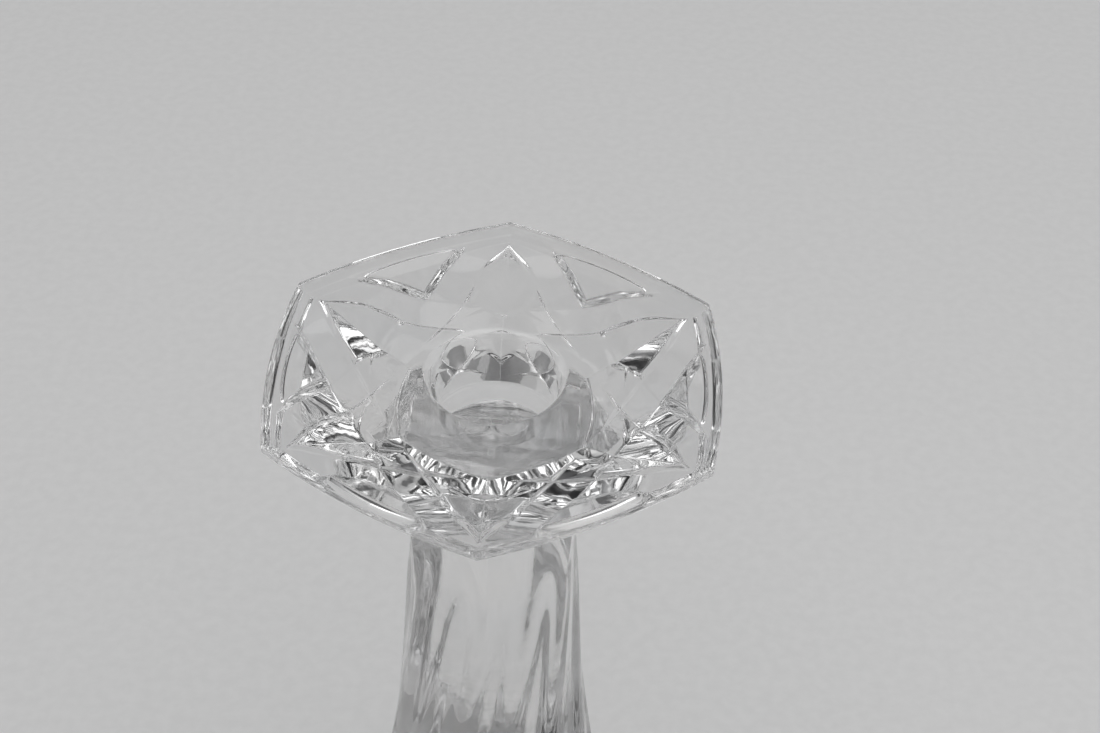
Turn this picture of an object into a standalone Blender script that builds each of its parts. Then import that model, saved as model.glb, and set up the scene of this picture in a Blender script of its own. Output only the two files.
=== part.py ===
"""Glass candlestick: a wide hexagonal head with a candle socket, on a twisted fluted stem.

Pressed clear glass in four pieces that the glassmaker joins hot: the head, a thin wafer
at the neck, the stem and the foot. Metres, +Z up, the foot stands on z = 0 and the axis
is X = Y = 0. A corner of the head points along -Y.
"""
import math

import bmesh
import bpy
from mathutils import Matrix, Vector

# Driving dimensions, in metres
HEIGHT = 0.180
RIM_RADIUS = 0.043            # axis to a corner of the head
RIM_BOW = 0.0019              # how far each rim edge bows outwards
RIM_THICKNESS = 0.0014
DISH_DEPTH = 0.0010           # the socket's mouth lies this far below the rim
DISH_FLOOR_RADIUS = 0.0125
SOCKET_MOUTH_RADIUS = 0.0114
SOCKET_FLOOR_RADIUS = 0.0104
SOCKET_DEPTH = 0.0155         # below the mouth
NECK_RADIUS = 0.0176          # axis to a corner of the neck
WAFER_THICKNESS = 0.0026
FOOT_RADIUS = 0.048           # axis to a corner of the foot
FOOT_HEIGHT = 0.024
FOOT_RIM_THICKNESS = 0.0035
JOINT_GAP = 0.0003            # between two pieces that meet

# Proportions that follow from the head's size
SHOULDER_RADIUS = 0.480 * RIM_RADIUS
SHOULDER_DEPTH = 0.420 * RIM_RADIUS
HEAD_DEPTH = 0.490 * RIM_RADIUS
BAND_WIDTH = 0.130 * RIM_RADIUS      # raised bands between the pockets
SIDE_BOW = 0.020 * RIM_RADIUS        # how far a pocket's sides bow outwards
EDGE_POCKET_OUTER = 0.850 * RIM_RADIUS
EDGE_POCKET_RISE = 0.055 * RIM_RADIUS        # how deep the pocket is at its crease
EDGE_POCKET_APEX_RISE = 0.020 * RIM_RADIUS   # and at its inner end
CORNER_POCKET_RISE = 0.060 * RIM_RADIUS      # how deep the pocket is at its inner side

# Stem and foot
STEM_TOP = HEIGHT - HEAD_DEPTH - WAFER_THICKNESS - 2 * JOINT_GAP
STEM_BOTTOM = FOOT_HEIGHT + JOINT_GAP
STEM_WAIST_RADIUS = 0.365 * RIM_RADIUS
STEM_BASE_RADIUS = 0.720 * RIM_RADIUS
STEM_FLARE_POWER = 2.0
HEXAGON_FADE_LENGTH = 0.030          # the neck's hexagon fades into flutes over this
FLUTES = 12
FLUTE_DEPTH = 0.0011                 # at the waist; it grows with the stem's radius
STEM_TWIST = math.radians(-60)       # whole flutes, so the stem's end lines up with the foot
WAFER_BULGE = 0.0006                 # how far the wafer stands out from the neck
FOOT_COVE = math.radians(72)         # the foot's upper side is this much of an ellipse
FOOT_RECESS_RADIUS = 0.036
FOOT_RECESS_TOP_RADIUS = 0.028
FOOT_RECESS_DEPTH = 0.0035

SIDES = 6
APOTHEM_RATIO = math.cos(math.pi / SIDES)
FIRST_CORNER = math.radians(-90)     # a corner points along -Y
FIRST_EDGE = FIRST_CORNER + math.pi / SIDES
STEPS_PER_SIDE = 16
RING_POINTS = SIDES * STEPS_PER_SIDE
STEM_LEVELS = 22
FOOT_LEVELS = 6
POCKET_SIDE_STEPS = 4
SOCKET_FACETS = 48
CUTTER_REACH = 0.030                 # how far a pocket cutter runs below the head
CUTTER_OVERRUN = 0.003               # how far the socket and recess cutters stick out

GLASS_COLOUR = (0.93, 0.94, 0.94, 1.0)
GLASS_ROUGHNESS = 0.02
GLASS_IOR = 1.52
PIECE_TINTS = {"socket_head": 0.00, "neck_wafer": 0.01, "stem": 0.02, "foot": 0.03}


def clear_scene():
    for old in list(bpy.data.objects):
        bpy.data.objects.remove(old, do_unlink=True)


def new_collection(name):
    collection = bpy.data.collections.new(name)
    bpy.context.scene.collection.children.link(collection)
    return collection


def glass_material(name, tint):
    material = bpy.data.materials.new(name)
    material.use_nodes = True
    shader = material.node_tree.nodes["Principled BSDF"]
    shader.inputs["Base Color"].default_value = [c - tint for c in GLASS_COLOUR[:3]] + [1.0]
    shader.inputs["Roughness"].default_value = GLASS_ROUGHNESS
    shader.inputs["Metallic"].default_value = 0.0
    shader.inputs["IOR"].default_value = GLASS_IOR
    shader.inputs["Transmission Weight"].default_value = 0.9
    return material


def hexagon_ring(corner_radius, bow, z):
    """Points round a hexagon whose edges bow outwards, counter-clockwise from above."""
    apothem = corner_radius * APOTHEM_RATIO
    half_edge = corner_radius / 2
    points = []
    for side in range(SIDES):
        middle = FIRST_EDGE + side * 2 * math.pi / SIDES
        outward = Vector((math.cos(middle), math.sin(middle), 0))
        along = Vector((-math.sin(middle), math.cos(middle), 0))
        for step in range(STEPS_PER_SIDE):
            t = 2 * step / STEPS_PER_SIDE - 1
            point = outward * (apothem + bow * (1 - t * t)) + along * (t * half_edge)
            point.z = z
            points.append(point)
    return points


def circle_ring(radius, z):
    """Points round a circle, in step with hexagon_ring."""
    points = []
    for i in range(RING_POINTS):
        angle = FIRST_CORNER + i * 2 * math.pi / RING_POINTS
        points.append(Vector((radius * math.cos(angle), radius * math.sin(angle), z)))
    return points


def fluted_ring(radius, depth, twist, z):
    """Points round a circle with concave flutes that meet in sharp ridges."""
    pitch = 2 * math.pi / FLUTES
    points = []
    for i in range(RING_POINTS):
        angle = i * 2 * math.pi / RING_POINTS
        across = 2 * ((angle % pitch) / pitch) - 1
        r = radius - depth * (1 - across * across)
        turned = FIRST_CORNER + angle + twist
        points.append(Vector((r * math.cos(turned), r * math.sin(turned), z)))
    return points


def blend_rings(first, second, share):
    return [a.lerp(b, share) for a, b in zip(first, second)]


def smooth_step(t):
    t = min(max(t, 0.0), 1.0)
    return t * t * (3 - 2 * t)


def loft(name, rings, collection, material):
    """A closed solid through rings of equal point counts, with a flat cap at each end."""
    mesh = bmesh.new()
    loops = [[mesh.verts.new(point) for point in ring] for ring in rings]
    for upper, lower in zip(loops, loops[1:]):
        for i in range(RING_POINTS):
            j = (i + 1) % RING_POINTS
            mesh.faces.new((upper[i], lower[i], lower[j], upper[j]))
    mesh.faces.new(loops[0])
    mesh.faces.new(reversed(loops[-1]))
    bmesh.ops.recalc_face_normals(mesh, faces=mesh.faces)
    data = bpy.data.meshes.new(name)
    mesh.to_mesh(data)
    mesh.free()
    piece = bpy.data.objects.new(name, data)
    collection.objects.link(piece)
    if material:
        data.materials.append(material)
    return piece


def hide_cutter(cutter):
    cutter.hide_render = True
    cutter.display_type = "WIRE"


def cut(piece, cutter):
    boolean = piece.modifiers.new("cut_" + cutter.name, "BOOLEAN")
    boolean.operation = "DIFFERENCE"
    boolean.solver = "EXACT"
    boolean.object = cutter


def underside_depth(outward, rim):
    """Depth of the pyramid under the head, by distance along the normal of one of its sides."""
    shoulder = SHOULDER_RADIUS * APOTHEM_RATIO
    slope = (SHOULDER_DEPTH - RIM_THICKNESS) / (rim - shoulder)
    return RIM_THICKNESS + (rim - outward) * slope


def bowed_side(start, end, bow):
    """Points from start up to, but not including, end, bowed to the right of the way there."""
    way = end - start
    right = Vector((way.y, -way.x)).normalized()
    points = []
    for step in range(POCKET_SIDE_STEPS):
        t = step / POCKET_SIDE_STEPS
        points.append(start + way * t + right * (4 * bow * t * (1 - t)))
    return points


def pocket_cutter(name, outline, crease, floor_depth, turn, collection):
    """A prism under the head whose top, folded along a crease, becomes a pocket's floor."""
    mesh = bmesh.new()
    bottom_z = HEIGHT - CUTTER_REACH
    top = [mesh.verts.new((p.x, p.y, HEIGHT - floor_depth(p))) for p in outline]
    bottom = [mesh.verts.new((p.x, p.y, bottom_z)) for p in outline]
    first, last = crease
    mesh.faces.new(top[first:last + 1])
    mesh.faces.new(top[last:] + top[:first + 1])
    mesh.faces.new(reversed(bottom))
    for i in range(len(outline)):
        j = (i + 1) % len(outline)
        mesh.faces.new((top[i], bottom[i], bottom[j], top[j]))
    bmesh.ops.recalc_face_normals(mesh, faces=mesh.faces)
    bmesh.ops.rotate(mesh, verts=mesh.verts, matrix=Matrix.Rotation(turn, 3, "Z"))
    data = bpy.data.meshes.new(name)
    mesh.to_mesh(data)
    mesh.free()
    cutter = bpy.data.objects.new(name, data)
    collection.objects.link(cutter)
    hide_cutter(cutter)
    return cutter


def edge_pocket_cutters(collection):
    """Triangles along the rim's edges: a shallow floor outside, a steep slope to the apex."""
    crossing = RIM_RADIUS / math.sqrt(3)
    apex = crossing + BAND_WIDTH / 2 / math.sin(math.pi / 3)
    half_base = (EDGE_POCKET_OUTER - apex) * math.tan(math.pi / 3)
    corners = [
        Vector((apex, 0)),
        Vector((EDGE_POCKET_OUTER, -half_base)),
        Vector((EDGE_POCKET_OUTER, half_base)),
    ]
    outline = bowed_side(corners[0], corners[1], SIDE_BOW)
    outline += [corners[1]]
    outline += bowed_side(corners[2], corners[0], SIDE_BOW)
    first = POCKET_SIDE_STEPS // 2
    last = len(outline) - first
    crease_x = outline[first].x
    rim = RIM_RADIUS * APOTHEM_RATIO + RIM_BOW

    def floor_depth(point):
        if point.x > crease_x:
            rise = EDGE_POCKET_RISE * (EDGE_POCKET_OUTER - point.x) / (EDGE_POCKET_OUTER - crease_x)
        else:
            share = (crease_x - point.x) / (crease_x - apex)
            rise = EDGE_POCKET_RISE + (EDGE_POCKET_APEX_RISE - EDGE_POCKET_RISE) * share
        return underside_depth(point.x, rim) - rise

    cutters = []
    for side in range(SIDES):
        turn = FIRST_EDGE + side * 2 * math.pi / SIDES
        name = "edge_pocket_cutter_" + str(side + 1)
        cutters.append(pocket_cutter(name, outline, (first, last), floor_depth, turn, collection))
    return cutters


def corner_pocket_cutters(collection):
    """Pointed arches at the rim's corners; the pyramid's ridge runs on along their floors."""
    tip = Vector((RIM_RADIUS - BAND_WIDTH, 0))
    inner = RIM_RADIUS / 2 + BAND_WIDTH / 2
    half_inner = (tip.x - inner) * math.tan(math.pi / SIDES)
    corners = [tip, Vector((inner, half_inner)), Vector((inner, -half_inner))]
    outline = bowed_side(corners[0], corners[1], SIDE_BOW)
    outline += [corners[1], Vector((inner, 0))]
    outline += bowed_side(corners[2], corners[0], SIDE_BOW)
    ridge_end = POCKET_SIDE_STEPS + 1
    rim = RIM_RADIUS * APOTHEM_RATIO

    def floor_depth(point):
        outward = point.x * APOTHEM_RATIO + abs(point.y) / 2
        rise = CORNER_POCKET_RISE * (tip.x - point.x) / (tip.x - inner)
        return underside_depth(outward, rim) - rise

    cutters = []
    for side in range(SIDES):
        turn = FIRST_CORNER + side * 2 * math.pi / SIDES
        name = "corner_pocket_cutter_" + str(side + 1)
        cutters.append(pocket_cutter(name, outline, (0, ridge_end), floor_depth, turn, collection))
    return cutters


def socket_cutter(collection):
    """A tapered hole for the candle, cut a little above the mouth at the same taper."""
    mouth_z = HEIGHT - DISH_DEPTH
    taper = (SOCKET_MOUTH_RADIUS - SOCKET_FLOOR_RADIUS) / SOCKET_DEPTH
    height = SOCKET_DEPTH + CUTTER_OVERRUN
    bpy.ops.mesh.primitive_cone_add(
        vertices=SOCKET_FACETS,
        radius1=SOCKET_FLOOR_RADIUS,
        radius2=SOCKET_MOUTH_RADIUS + taper * CUTTER_OVERRUN,
        depth=height,
        location=(0, 0, mouth_z - SOCKET_DEPTH + height / 2),
    )
    cutter = bpy.context.object
    cutter.name = "socket_cutter"
    for owner in list(cutter.users_collection):
        owner.objects.unlink(cutter)
    collection.objects.link(cutter)
    hide_cutter(cutter)
    return cutter


def make_head(parts, cutters):
    """Top inwards from the rim is a shallow dish; its flat middle is wider than the socket."""
    rings = [
        circle_ring(DISH_FLOOR_RADIUS, HEIGHT - DISH_DEPTH),
        hexagon_ring(RIM_RADIUS, RIM_BOW, HEIGHT),
        hexagon_ring(RIM_RADIUS, RIM_BOW, HEIGHT - RIM_THICKNESS),
        hexagon_ring(SHOULDER_RADIUS, 0, HEIGHT - SHOULDER_DEPTH),
        hexagon_ring(NECK_RADIUS, 0, HEIGHT - HEAD_DEPTH),
    ]
    head = loft("socket_head", rings, parts, glass_material("head_glass", PIECE_TINTS["socket_head"]))
    cut(head, socket_cutter(cutters))
    for cutter in edge_pocket_cutters(cutters) + corner_pocket_cutters(cutters):
        cut(head, cutter)
    return head


def make_wafer(parts):
    top = HEIGHT - HEAD_DEPTH - JOINT_GAP
    rings = [
        hexagon_ring(NECK_RADIUS, 0, top),
        hexagon_ring(NECK_RADIUS + WAFER_BULGE, 0, top - WAFER_THICKNESS / 3),
        hexagon_ring(NECK_RADIUS + WAFER_BULGE, 0, top - 2 * WAFER_THICKNESS / 3),
        hexagon_ring(NECK_RADIUS, 0, top - WAFER_THICKNESS),
    ]
    return loft("neck_wafer", rings, parts, glass_material("wafer_glass", PIECE_TINTS["neck_wafer"]))


def stem_ring(share):
    """The stem's section at a share of the way down from the neck to the foot."""
    z = STEM_TOP + (STEM_BOTTOM - STEM_TOP) * share
    radius = STEM_WAIST_RADIUS + (STEM_BASE_RADIUS - STEM_WAIST_RADIUS) * share ** STEM_FLARE_POWER
    round_share = smooth_step((STEM_TOP - z) / HEXAGON_FADE_LENGTH)
    depth = FLUTE_DEPTH * radius / STEM_WAIST_RADIUS
    fluted = fluted_ring(radius, depth, STEM_TWIST * share, z)
    hexagon = hexagon_ring(NECK_RADIUS, 0, z)
    return blend_rings(hexagon, fluted, round_share)


def make_stem(parts):
    rings = [stem_ring(level / STEM_LEVELS) for level in range(STEM_LEVELS + 1)]
    return loft("stem", rings, parts, glass_material("stem_glass", PIECE_TINTS["stem"]))


def foot_ring(share):
    """The foot's section at a share of the way along its cove, from the stem to the rim."""
    angle = FOOT_COVE * share
    outward = (1 - math.cos(angle)) / (1 - math.cos(FOOT_COVE))
    z = FOOT_HEIGHT - (FOOT_HEIGHT - FOOT_RIM_THICKNESS) * math.sin(angle) / math.sin(FOOT_COVE)
    flute_depth = FLUTE_DEPTH * STEM_BASE_RADIUS / STEM_WAIST_RADIUS
    stem_end = fluted_ring(STEM_BASE_RADIUS, flute_depth, 0, z)
    return blend_rings(stem_end, hexagon_ring(FOOT_RADIUS, RIM_BOW, z), outward)


def make_foot(parts, cutters):
    """The foot spreads from the stem's fluted end to a bowed hexagon like the head's."""
    rings = [foot_ring(level / FOOT_LEVELS) for level in range(FOOT_LEVELS + 1)]
    rings.append(hexagon_ring(FOOT_RADIUS, RIM_BOW, 0))
    foot = loft("foot", rings, parts, glass_material("foot_glass", PIECE_TINTS["foot"]))
    taper = (FOOT_RECESS_RADIUS - FOOT_RECESS_TOP_RADIUS) / FOOT_RECESS_DEPTH
    recess_rings = [
        circle_ring(FOOT_RECESS_TOP_RADIUS, FOOT_RECESS_DEPTH),
        circle_ring(FOOT_RECESS_RADIUS + taper * CUTTER_OVERRUN, -CUTTER_OVERRUN),
    ]
    recess = loft("foot_recess_cutter", recess_rings, cutters, None)
    hide_cutter(recess)
    cut(foot, recess)
    return foot


def main():
    clear_scene()
    parts = new_collection("glass_candlestick")
    cutters = new_collection("cutters")
    make_head(parts, cutters)
    make_wafer(parts)
    make_stem(parts)
    make_foot(parts, cutters)


main()
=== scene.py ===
"""Look of the glass candlestick: fine glass pieces on the CAD frame, floor, soft light, camera."""
import math

import bpy
import numpy as np
from mathutils import Matrix, Vector


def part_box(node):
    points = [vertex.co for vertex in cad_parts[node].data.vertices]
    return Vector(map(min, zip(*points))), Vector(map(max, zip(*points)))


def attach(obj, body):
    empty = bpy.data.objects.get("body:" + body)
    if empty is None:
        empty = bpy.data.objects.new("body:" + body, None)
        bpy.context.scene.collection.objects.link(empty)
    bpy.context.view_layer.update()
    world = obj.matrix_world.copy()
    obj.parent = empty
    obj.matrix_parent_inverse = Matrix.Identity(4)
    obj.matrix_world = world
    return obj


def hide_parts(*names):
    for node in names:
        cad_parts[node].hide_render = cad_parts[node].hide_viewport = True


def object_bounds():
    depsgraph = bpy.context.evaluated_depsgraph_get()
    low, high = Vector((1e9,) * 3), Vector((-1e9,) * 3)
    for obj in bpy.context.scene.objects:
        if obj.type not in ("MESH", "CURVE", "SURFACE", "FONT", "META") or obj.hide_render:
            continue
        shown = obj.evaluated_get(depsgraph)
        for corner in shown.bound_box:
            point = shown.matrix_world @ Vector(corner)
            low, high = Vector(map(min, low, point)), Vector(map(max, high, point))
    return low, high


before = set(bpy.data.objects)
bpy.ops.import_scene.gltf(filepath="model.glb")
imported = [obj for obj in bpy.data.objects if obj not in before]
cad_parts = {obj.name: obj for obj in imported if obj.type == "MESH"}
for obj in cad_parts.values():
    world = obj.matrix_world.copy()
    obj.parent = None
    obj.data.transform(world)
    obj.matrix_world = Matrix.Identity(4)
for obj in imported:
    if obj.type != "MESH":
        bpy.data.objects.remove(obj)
lowest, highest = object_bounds()

# Sizes taken over from the CAD, and how far fused pieces overlap, in metres
head_low, head_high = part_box("socket_head")
stem_low, stem_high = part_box("stem")
foot_low, foot_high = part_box("foot")
RIM_Z = head_high.z
R = (head_high.y - head_low.y) / 2          # axis to a corner of the rim
FOOT_R = (foot_high.y - foot_low.y) / 2
FUSE = 0.00008                              # overlap of two fused pieces
FOOT_FUSE = 0.0004                          # the foot reaches up across its gap into the stem

# The head; all lengths in units of R, depths count down from the rim plane
SIXTH = math.pi / 3
APOTHEM = math.cos(SIXTH / 2)
BOW = 0.044                                 # how far a rim edge bows outwards
EDGE_REACH = APOTHEM + BOW                  # axis to the middle of a rim edge
RIM_THICKNESS = 0.033
RIM_CHAMFER = 0.006
BORDER = 0.055                              # width of the rounded border inside the rim
BORDER_RISE = 0.050                         # how much deeper the glass gets across the border
BORDER_STEEP_START = 0.04                   # from here inwards it may deepen quickly
BORDER_STEEPNESS = 25
LAND_DEPTH = 0.080                          # thinnest glass between border and pockets
DISH_DEPTH = 0.023
MOUTH_RADIUS = 0.2656
LIP_RADIUS = 0.035
SOCKET_FLOOR_RADIUS = 0.242
SOCKET_DEPTH = 0.36
SOCKET_FLOOR_ROUND = 0.02
WICK_WELL_RADIUS = 0.10
NECK_DEPTH = (RIM_Z - head_low.z) / R
NECK_APOTHEM = 0.345
NECK_FILLET = 0.045
NECK_FILLET_RISE = 0.101
NECK_ROUND = 0.933                          # circle between the neck's flats and corners
INNER_REACH = 0.505                         # where the slope to the neck begins
INNER_DEPTH = 0.30
INNER_SLOPE = 0.55
INNER_END = 0.53                            # beyond this reach the slope drops away
INNER_END_SLOPE = 1.2
SEAM_ROUND = 0.01                           # rounding where two surfaces of the underside meet
NECK_SEAM_ROUND = 0.02

# The ribs: flat bands of the underside that form a star
RIB_MIDDLE = 0.49                           # along a rib, where its depth falls fastest
RIB_DEPTH = 0.213                           # depth there
RIB_FALL = 0.107                            # half of the whole fall
RIB_RUN = 0.13                              # length over which most of the fall takes place
RIB_PIVOT = 0.46                            # distance from the axis that the tilt leaves alone
RIB_TILT = 0.40
RIB_TILT_START = 0.09                       # depth at which a rib starts to tilt
RIB_TILT_RANGE = 0.13
RIB_NEAR_SIDE = 0.45                        # a rib drops off beyond its near and far sides
RIB_NEAR_SLOPE = 2
RIB_FAR_SIDE = 0.59
RIB_FAR_SLOPE = 4
RIB_OUTER_EDGE = 0.535
RIB_OUTER_BULGE = 0.053
RIB_HALF_LENGTH = 0.5
RIB_INNER_EDGE = 0.475
RIB_INNER_CURVE = 0.9
RIB_INNER_PEAK = 0.58                       # along the rib, where its inner edge is farthest out
RIB_INNER_STRAIGHT = 0.40                   # nearer the rib's middle than this it runs straight

# The pockets between the ribs: kites at the corners, the others along the edges
KITE_WALL = 0.042
KITE_TIP = 0.885
KITE_RIDGE_REACH = 0.853
KITE_RIDGE_DEPTH = 0.105
KITE_RIDGE_SLOPE = 0.765
KITE_DROP = 0.075                           # from the ridge to the sides
KITE_DROP_LIMIT = 1.1
KITE_TAPER = 0.12
KITE_OPENING = 1.05                         # half width per length at the tip
KITE_CURVE = 2.4                            # how quickly the sides turn parallel
POCKET_WALL = 0.022
POCKET_HALF_LENGTH = 0.225
POCKET_REACH = 0.858
POCKET_BOW = 0.4                            # how the side along the rim bows
POCKET_CORNER_REACH = 0.805                 # from here outwards the ends are rounded
POCKET_CORNER_CURVE = 15
POCKET_PROFILE_REACH = (0.60, 0.773, 0.855)
POCKET_PROFILE_DEPTH = (0.298, 0.075, 0.040)

# How finely the head is built
HEAD_ANGLES = 720
HEAD_RINGS = 170
DISH_STEPS = 24
LIP_STEPS = 8
SOCKET_STEPS = 12
SOCKET_ROUND_STEPS = 6

# Wafer, stem and foot, in metres where nothing else is said
WAFER_ANGLES = 240
WAFER_STEPS = 12
WAFER_BULGE = 0.0001
FLUTES = 12
FLUTE_DEPTH = 0.0005                        # at the stem's top; it grows with the radius
WAIST = 0.365                               # stem radius at the top, in units of R
BASE = 0.720                                # and at the foot
TWIST = math.radians(-60)
FLUTE_FADE = 0.030                          # the neck's hexagon turns into flutes over this length
STEM_RINGS = 120
FOOT_RIM = 0.0035
FOOT_EDGE = 0.0004
FOOT_BOW = 0.0019
FOOT_COVE = math.radians(72)
FOOT_STEPS = 40
FOOT_HOLLOW_RADIUS = 0.036
FOOT_HOLLOW_DEPTH = 0.0035
FOOT_HOLLOW_SIDE = 0.008                    # width of the hollow's sloping side
FOOT_HOLLOW_EDGE = 0.0005                   # small chamfer at the hollow's edge
FOOT_HOLLOW_EDGE_RISE = 0.0003
FOOT_CENTRE = 0.002

# Camera, with lengths in units of R
CAMERA_ELEVATION = math.radians(41.143)
CAMERA_TURN = math.radians(1.249)
CAMERA_ROLL = math.radians(2.153)
CAMERA_DISTANCE = 7.6893
CAMERA_TARGET = (0.21733, 0.03998)
SENSOR_WIDTH = 36
LENS = 62.54

# Light
LAMP_PLACE = Vector((0.25, -0.35, 1.6))
LAMP_SIZE = 2.0
LAMP_ENERGY = 13
STUDIO_LEVELS = ((0.10, 0.14), (0.20, 0.02), (0.55, 0.02), (0.70, 0.20))    # height, brightness
STUDIO_STRENGTH = 0.87
BOUNCES = 64
FLOOR_SIZE = 16
FLOOR_GAP = 0.0002


def smooth_step(t):
    """Rises smoothly from 0 to 1 while t goes from 0 to 1."""
    t = np.clip(t, 0.0, 1.0)
    return t * t * (3 - 2 * t)


def smooth_max(a, b, radius):
    """The greater of two surfaces, rounded where they meet."""
    overlap = np.maximum(radius - np.abs(a - b), 0.0) / radius
    return np.maximum(a, b) + overlap * overlap * radius / 4


def around(count):
    """Angles once round the axis, starting at the near corner."""
    return np.arange(count) * 2 * math.pi / count - math.pi / 2


def fold(angle):
    """Angle from the nearest corner of the head, between 0 and 30 degrees."""
    return np.abs((angle + math.pi / 2 + SIXTH / 2) % SIXTH - SIXTH / 2)


def hexagon(angle):
    """Radius of a hexagon whose flats are at distance 1, by angle."""
    return 1 / np.cos(SIXTH / 2 - fold(angle))


def bowed_hexagon(angle, bow=BOW):
    """Radius of a hexagon with corners at 1 and edges bowed outwards, by angle."""
    off_edge = np.maximum(SIXTH / 2 - fold(angle), 1e-6)
    tangent = np.tan(off_edge)
    root = np.sqrt(0.25 + 4 * bow * tangent ** 2 * (APOTHEM + bow))
    t = (root - 0.5) / (2 * bow * tangent)
    return (APOTHEM + bow * (1 - t * t)) / np.cos(off_edge)


def rib_outer(along):
    """Distance from the axis of a rib's outer edge, towards the rim."""
    off = (np.abs(along) - RIB_HALF_LENGTH) / RIB_HALF_LENGTH
    return RIB_OUTER_EDGE + RIB_OUTER_BULGE * np.maximum(1 - off * off, 0)


def rib_inner(along):
    """Distance from the axis of a rib's inner edge, towards the neck."""
    off = np.maximum(np.abs(along), RIB_INNER_STRAIGHT) - RIB_INNER_PEAK
    return RIB_INNER_EDGE - RIB_INNER_CURVE * off ** 2


def rib_depth(across, along):
    """Depth of a rib: falls along it, tilts a little across, drops off beyond its edges."""
    crown = RIB_DEPTH - RIB_FALL * np.tanh((np.abs(along) - RIB_MIDDLE) / RIB_RUN)
    tilt = RIB_TILT * smooth_step((crown - RIB_TILT_START) / RIB_TILT_RANGE)
    beyond = RIB_FAR_SLOPE * np.maximum(across - RIB_FAR_SIDE, 0)
    beyond = beyond + RIB_NEAR_SLOPE * np.maximum(RIB_NEAR_SIDE - across, 0)
    return crown - tilt * (across - RIB_PIVOT) - beyond


def neck_slope(reach, radius):
    """Depth of the slope inside the ribs, ending in the neck's fillet."""
    slope = INNER_DEPTH + INNER_SLOPE * (INNER_REACH - reach)
    slope = slope - INNER_END_SLOPE * np.maximum(reach - INNER_END, 0)
    rounded = (reach + radius * NECK_ROUND) / 2
    fillet = np.maximum(NECK_APOTHEM + NECK_FILLET - rounded, 0) / NECK_FILLET
    return slope + NECK_FILLET_RISE * fillet ** 2


def border_limit(inset):
    """Greatest depth near the rim: a rounded border, then quickly deeper."""
    rounding = 1 - (1 - np.minimum(inset / BORDER, 1)) ** 2
    beyond = np.maximum(inset - BORDER_STEEP_START, 0)
    return RIM_THICKNESS + BORDER_RISE * rounding + BORDER_STEEPNESS * beyond ** 2


def kite_depth(x, y):
    """Depth of a corner pocket's floor: a roof with its ridge towards the corner."""
    to_tip = np.maximum(KITE_TIP - x, 0.001)
    ridge = KITE_RIDGE_DEPTH + (KITE_RIDGE_REACH - x) * KITE_RIDGE_SLOPE
    half_width = KITE_OPENING * to_tip / (1 + KITE_CURVE * to_tip)
    drop = KITE_DROP * (1 - np.maximum(1 - to_tip / KITE_TAPER, 0) ** 2)
    return ridge - drop * np.minimum(y / half_width, KITE_DROP_LIMIT)


def underside_depth(angle, radius):
    """Depth of the head's underside, worked out in the half sector beside a corner."""
    turned = fold(angle)
    x = radius * np.cos(turned)
    y = radius * np.sin(turned)
    reach = x * APOTHEM + y / 2
    aside = x / 2 - y * APOTHEM
    across = x / 2 + y * APOTHEM
    along = x * APOTHEM - y / 2
    inset = EDGE_REACH * (1 - radius / bowed_hexagon(angle))

    depth = smooth_max(rib_depth(across, along), rib_depth(x, y), SEAM_ROUND)
    depth = smooth_max(depth, neck_slope(reach, radius), NECK_SEAM_ROUND)
    depth = smooth_max(depth, LAND_DEPTH, SEAM_ROUND)
    depth = np.minimum(depth, border_limit(inset))

    in_kite = smooth_step((rib_inner(along) - across) / KITE_WALL)
    in_kite = in_kite * smooth_step((x - rib_outer(y)) / KITE_WALL)
    depth = depth + (kite_depth(x, y) - depth) * in_kite

    floor = np.interp(reach, POCKET_PROFILE_REACH, POCKET_PROFILE_DEPTH)
    corner = np.maximum(reach - POCKET_CORNER_REACH, 0)
    end = POCKET_HALF_LENGTH - POCKET_CORNER_CURVE * corner ** 2
    outer = POCKET_REACH - POCKET_BOW * aside ** 2
    in_pocket = smooth_step((across - rib_outer(along)) / POCKET_WALL)
    in_pocket = in_pocket * smooth_step((end - aside) / POCKET_WALL)
    in_pocket = in_pocket * smooth_step((outer - reach) / POCKET_WALL)
    return depth + (floor - depth) * in_pocket


def ring(angles, radius, z):
    """Points round the axis; radius and height may differ from point to point."""
    radius = radius * np.ones_like(angles)
    z = z * np.ones_like(angles)
    return np.stack([radius * np.cos(angles), radius * np.sin(angles), z], axis=1)


def closed_piece(name, rings, material):
    """Closed, smooth body through rings of equal length, capped at both ends."""
    count = len(rings[0])
    start = np.arange(count)
    after = (start + 1) % count
    faces = []
    for level in range(len(rings) - 1):
        low = level * count
        high = low + count
        faces.extend(np.stack([low + start, low + after, high + after, high + start], axis=1).tolist())
    faces.append(start[::-1].tolist())
    faces.append((start + (len(rings) - 1) * count).tolist())
    mesh = bpy.data.meshes.new(name)
    mesh.from_pydata(np.concatenate(rings).tolist(), [], faces)
    mesh.shade_smooth()
    mesh.materials.append(material)
    piece = bpy.data.objects.new(name, mesh)
    bpy.context.scene.collection.objects.link(piece)
    return piece


def head_underside(angles):
    """Rings from the neck's lower end out to the rim, along the underside."""
    outline = bowed_hexagon(angles)
    neck = NECK_APOTHEM * hexagon(angles)
    rings = [ring(angles, neck * R, RIM_Z - NECK_DEPTH * R)]
    for level in range(1, HEAD_RINGS + 1):
        radius = neck + (outline - neck) * level / HEAD_RINGS
        rings.append(ring(angles, radius * R, RIM_Z - underside_depth(angles, radius) * R))
    return rings


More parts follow.
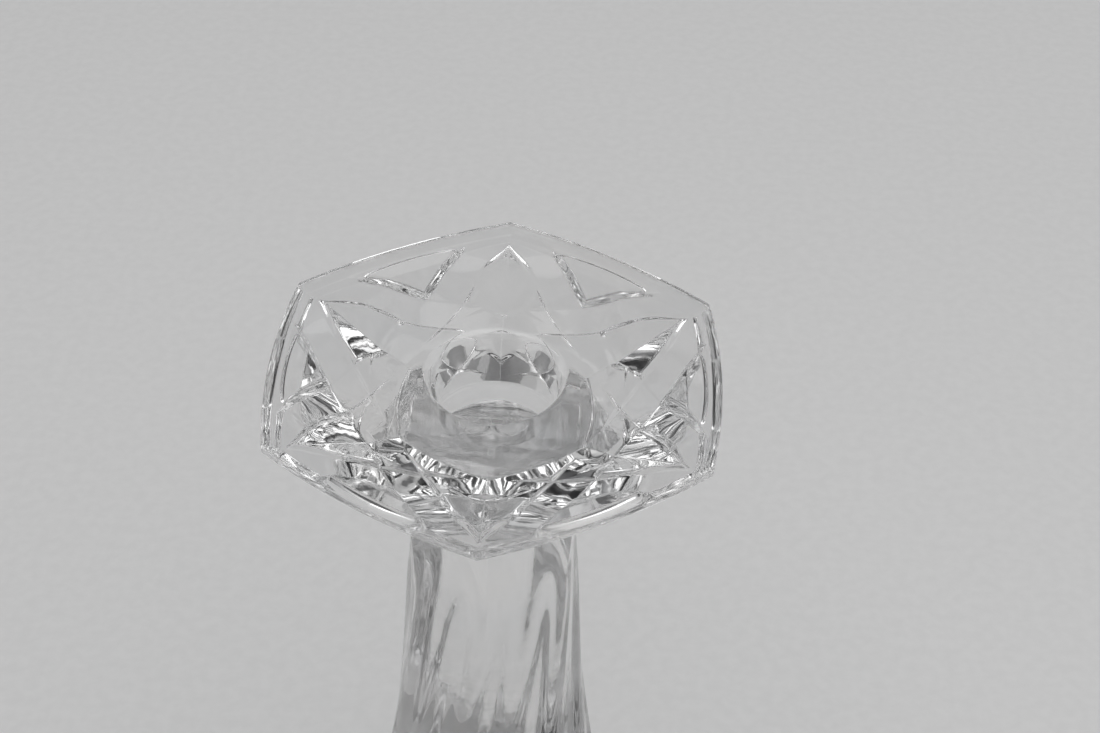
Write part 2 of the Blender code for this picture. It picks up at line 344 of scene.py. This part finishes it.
def head_dish(angles):
    """Rim edge, shallow dish and the rounded lip of the candle socket."""
    outline = bowed_hexagon(angles)
    rings = [ring(angles, outline * R, RIM_Z - RIM_CHAMFER * R)]
    lip = MOUTH_RADIUS + LIP_RADIUS
    for step in range(DISH_STEPS + 1):
        share = step / DISH_STEPS
        radius = (outline - RIM_CHAMFER) * (1 - share) + lip * share
        rings.append(ring(angles, radius * R, RIM_Z - DISH_DEPTH * R * smooth_step(share)))
    for step in range(1, LIP_STEPS + 1):
        turn = math.pi / 2 * step / LIP_STEPS
        radius = MOUTH_RADIUS + LIP_RADIUS * (1 - math.sin(turn))
        depth = DISH_DEPTH + LIP_RADIUS * (1 - math.cos(turn))
        rings.append(ring(angles, radius * R, RIM_Z - depth * R))
    return rings


def head_socket(angles):
    """Tapered wall and rounded floor of the candle socket."""
    rings = []
    top = DISH_DEPTH + LIP_RADIUS
    bottom = DISH_DEPTH + SOCKET_DEPTH
    for step in range(1, SOCKET_STEPS + 1):
        share = step / SOCKET_STEPS
        radius = MOUTH_RADIUS + (SOCKET_FLOOR_RADIUS - MOUTH_RADIUS) * share
        depth = top + (bottom - SOCKET_FLOOR_ROUND - top) * share
        rings.append(ring(angles, radius * R, RIM_Z - depth * R))
    for step in range(1, SOCKET_ROUND_STEPS + 1):
        turn = math.pi / 2 * step / SOCKET_ROUND_STEPS
        radius = SOCKET_FLOOR_RADIUS - SOCKET_FLOOR_ROUND * (1 - math.cos(turn))
        depth = bottom - SOCKET_FLOOR_ROUND * (1 - math.sin(turn))
        rings.append(ring(angles, radius * R, RIM_Z - depth * R))
    rings.append(ring(angles, WICK_WELL_RADIUS * R, RIM_Z - bottom * R))
    return rings


def make_head(material):
    """Head in one piece: underside, rim, dish and candle socket."""
    angles = around(HEAD_ANGLES)
    rings = head_underside(angles) + head_dish(angles) + head_socket(angles)
    return closed_piece("head_glass", rings, material)


def make_wafer(material):
    """Thin hexagonal ring of glass between head and stem, fused to both."""
    angles = around(WAFER_ANGLES)
    top = head_low.z + FUSE
    bottom = stem_high.z - FUSE
    rings = []
    for step in range(WAFER_STEPS + 1):
        share = step / WAFER_STEPS
        radius = NECK_APOTHEM * R + WAFER_BULGE * math.sin(math.pi * share)
        rings.append(ring(angles, radius * hexagon(angles), bottom + (top - bottom) * share))
    return closed_piece("wafer_glass", rings, material)


def stem_section(angles, share):
    """Radius of the stem: a hexagon at the top that turns into twisted soft flutes."""
    radius = (WAIST + (BASE - WAIST) * share ** 2) * R
    depth = FLUTE_DEPTH * radius / (WAIST * R)
    turn = angles + math.pi / 2 - TWIST * share
    fluted = radius - depth * (0.5 + 0.5 * np.cos(FLUTES * turn))
    flat = NECK_APOTHEM * R * hexagon(angles)
    below_top = (stem_high.z - stem_low.z) * share
    return flat + (fluted - flat) * smooth_step(below_top / FLUTE_FADE)


def make_stem(material):
    """Solid stem, built upwards from the foot."""
    angles = around(HEAD_ANGLES)
    rings = []
    for step in range(STEM_RINGS, -1, -1):
        share = step / STEM_RINGS
        z = stem_high.z + (stem_low.z - stem_high.z) * share
        rings.append(ring(angles, stem_section(angles, share), z))
    return closed_piece("stem_glass", rings, material)


def make_foot(material):
    """Six-sided foot with a shallow hollow below and a hollow curve up to the stem."""
    angles = around(HEAD_ANGLES)
    top = foot_high.z + FOOT_FUSE
    outline = bowed_hexagon(angles, FOOT_BOW / FOOT_R) * FOOT_R
    start = stem_section(angles, 1.0)
    rings = [ring(angles, FOOT_CENTRE, FOOT_HOLLOW_DEPTH)]
    rings.append(ring(angles, FOOT_HOLLOW_RADIUS - FOOT_HOLLOW_SIDE, FOOT_HOLLOW_DEPTH))
    rings.append(ring(angles, FOOT_HOLLOW_RADIUS - FOOT_HOLLOW_EDGE, FOOT_HOLLOW_EDGE_RISE))
    rings.append(ring(angles, FOOT_HOLLOW_RADIUS, 0.0))
    rings.append(ring(angles, outline - FOOT_EDGE, 0.0))
    rings.append(ring(angles, outline, FOOT_EDGE))
    rings.append(ring(angles, outline, FOOT_RIM - FOOT_EDGE))
    for step in range(FOOT_STEPS + 1):
        turn = FOOT_COVE * (1 - step / FOOT_STEPS)
        outward = (1 - math.cos(turn)) / (1 - math.cos(FOOT_COVE))
        z = top - (top - FOOT_RIM) * math.sin(turn) / math.sin(FOOT_COVE)
        rings.append(ring(angles, start + (outline - FOOT_EDGE - start) * outward, z))
    return closed_piece("foot_glass", rings, material)


def textured_material(name, scale, dark, light, bump_height):
    """Material with noise in its colour and a fine bump; returns it with its main shader."""
    material = bpy.data.materials.new(name)
    material.use_nodes = True
    tree = material.node_tree
    shader = tree.nodes["Principled BSDF"]
    place = tree.nodes.new("ShaderNodeTexCoord")
    noise = tree.nodes.new("ShaderNodeTexNoise")
    noise.inputs["Scale"].default_value = scale
    noise.inputs["Detail"].default_value = 4
    ramp = tree.nodes.new("ShaderNodeValToRGB")
    ramp.color_ramp.elements[0].position = 0.35
    ramp.color_ramp.elements[0].color = (*dark, 1)
    ramp.color_ramp.elements[1].position = 0.65
    ramp.color_ramp.elements[1].color = (*light, 1)
    bump = tree.nodes.new("ShaderNodeBump")
    bump.inputs["Distance"].default_value = bump_height
    tree.links.new(place.outputs["Object"], noise.inputs["Vector"])
    tree.links.new(noise.outputs["Fac"], ramp.inputs["Fac"])
    tree.links.new(ramp.outputs["Color"], shader.inputs["Base Color"])
    tree.links.new(noise.outputs["Fac"], bump.inputs["Height"])
    tree.links.new(bump.outputs["Normal"], shader.inputs["Normal"])
    return material, shader


def glass_material():
    """Clear pressed glass: faint colour streaks, slight surface waves, a little dull."""
    material, shader = textured_material("clear_glass", 45, (0.945, 0.95, 0.955), (0.97, 0.965, 0.96),
                                         0.00015)
    shader.inputs["Roughness"].default_value = 0.035
    shader.inputs["IOR"].default_value = 1.52
    shader.inputs["Transmission Weight"].default_value = 1.0
    return material


def paper_material():
    """Pale paper that glows faintly, as if lit a little from below: painted light that brightens the
    floor shaded under the glass foot.
    """
    material, shader = textured_material("floor_paper_painted_glow", 300, (0.60, 0.60, 0.60), (0.63, 0.63, 0.63),
                                         0.0001)
    shader.inputs["Roughness"].default_value = 0.9
    # Painted light: this even emission lifts the shade the glass foot casts on the floor, which shows
    # through the stem
    shader.inputs["Emission Color"].default_value = (1, 1, 1, 1)
    shader.inputs["Emission Strength"].default_value = 0.14
    return material


def make_floor():
    """Large plain floor just under the foot."""
    bpy.ops.mesh.primitive_plane_add(size=FLOOR_SIZE, location=(0, 0, lowest.z - FLOOR_GAP))
    floor = bpy.context.object
    floor.name = "floor"
    floor.data.materials.append(paper_material())


def make_lamp():
    """One large soft lamp, high above and a little to the right."""
    data = bpy.data.lights.new("softbox", "AREA")
    data.size = LAMP_SIZE
    data.energy = LAMP_ENERGY
    lamp = bpy.data.objects.new("softbox", data)
    bpy.context.scene.collection.objects.link(lamp)
    lamp.location = LAMP_PLACE
    lamp.rotation_euler = (-LAMP_PLACE).to_track_quat("-Z", "Y").to_euler()


def make_world():
    """Grey studio: light floor line, dark walls, bright ceiling."""
    world = bpy.data.worlds.new("studio")
    bpy.context.scene.world = world
    world.use_nodes = True
    tree = world.node_tree
    back = tree.nodes["Background"]
    place = tree.nodes.new("ShaderNodeTexCoord")
    split = tree.nodes.new("ShaderNodeSeparateXYZ")
    ramp = tree.nodes.new("ShaderNodeValToRGB")
    tree.links.new(place.outputs["Generated"], split.inputs[0])
    tree.links.new(split.outputs["Z"], ramp.inputs[0])
    tree.links.new(ramp.outputs[0], back.inputs["Color"])
    stops = ramp.color_ramp.elements
    stops[0].position = 0.0
    stops[0].color = (0.14, 0.14, 0.142, 1)
    stops[1].position = 0.85
    stops[1].color = (0.85, 0.85, 0.85, 1)
    for height, level in STUDIO_LEVELS:
        stop = stops.new(height)
        stop.color = (level, level, level * 1.02, 1)
    back.inputs["Strength"].default_value = STUDIO_STRENGTH


def make_camera():
    """Camera above the near corner, looking down at the head and slightly rolled."""
    target = Vector((CAMERA_TARGET[0] * R, CAMERA_TARGET[1] * R, RIM_Z))
    forward = Vector((0, math.cos(CAMERA_ELEVATION), -math.sin(CAMERA_ELEVATION)))
    right = Vector((1, 0, 0))
    up = right.cross(forward)
    rolled_right = math.cos(CAMERA_ROLL) * right + math.sin(CAMERA_ROLL) * up
    rolled_up = -math.sin(CAMERA_ROLL) * right + math.cos(CAMERA_ROLL) * up
    axes = Matrix((rolled_right, rolled_up, -forward)).transposed()
    data = bpy.data.cameras.new("camera")
    data.sensor_width = SENSOR_WIDTH
    data.lens = LENS
    camera = bpy.data.objects.new("camera", data)
    bpy.context.scene.collection.objects.link(camera)
    spin = Matrix.Rotation(CAMERA_TURN, 4, "Z")
    place = target - CAMERA_DISTANCE * R * forward
    camera.matrix_world = spin @ Matrix.Translation(place) @ axes.to_4x4()
    bpy.context.scene.camera = camera


def set_light_paths():
    """Glass inside glass needs many bounces before a ray gets out."""
    scene = bpy.context.scene
    scene.view_settings.view_transform = "Standard"
    scene.cycles.max_bounces = BOUNCES
    scene.cycles.transmission_bounces = BOUNCES
    scene.cycles.glossy_bounces = BOUNCES
    scene.cycles.use_denoising = True


def main():
    """Builds the four pieces in place of their CAD solids, then the studio around them."""
    glass = glass_material()
    makers = {"socket_head": make_head, "neck_wafer": make_wafer, "stem": make_stem, "foot": make_foot}
    for node, maker in makers.items():
        piece = maker(glass)
        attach(piece, "root")
        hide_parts(node)
    make_floor()
    make_lamp()
    make_world()
    make_camera()
    set_light_paths()


main()
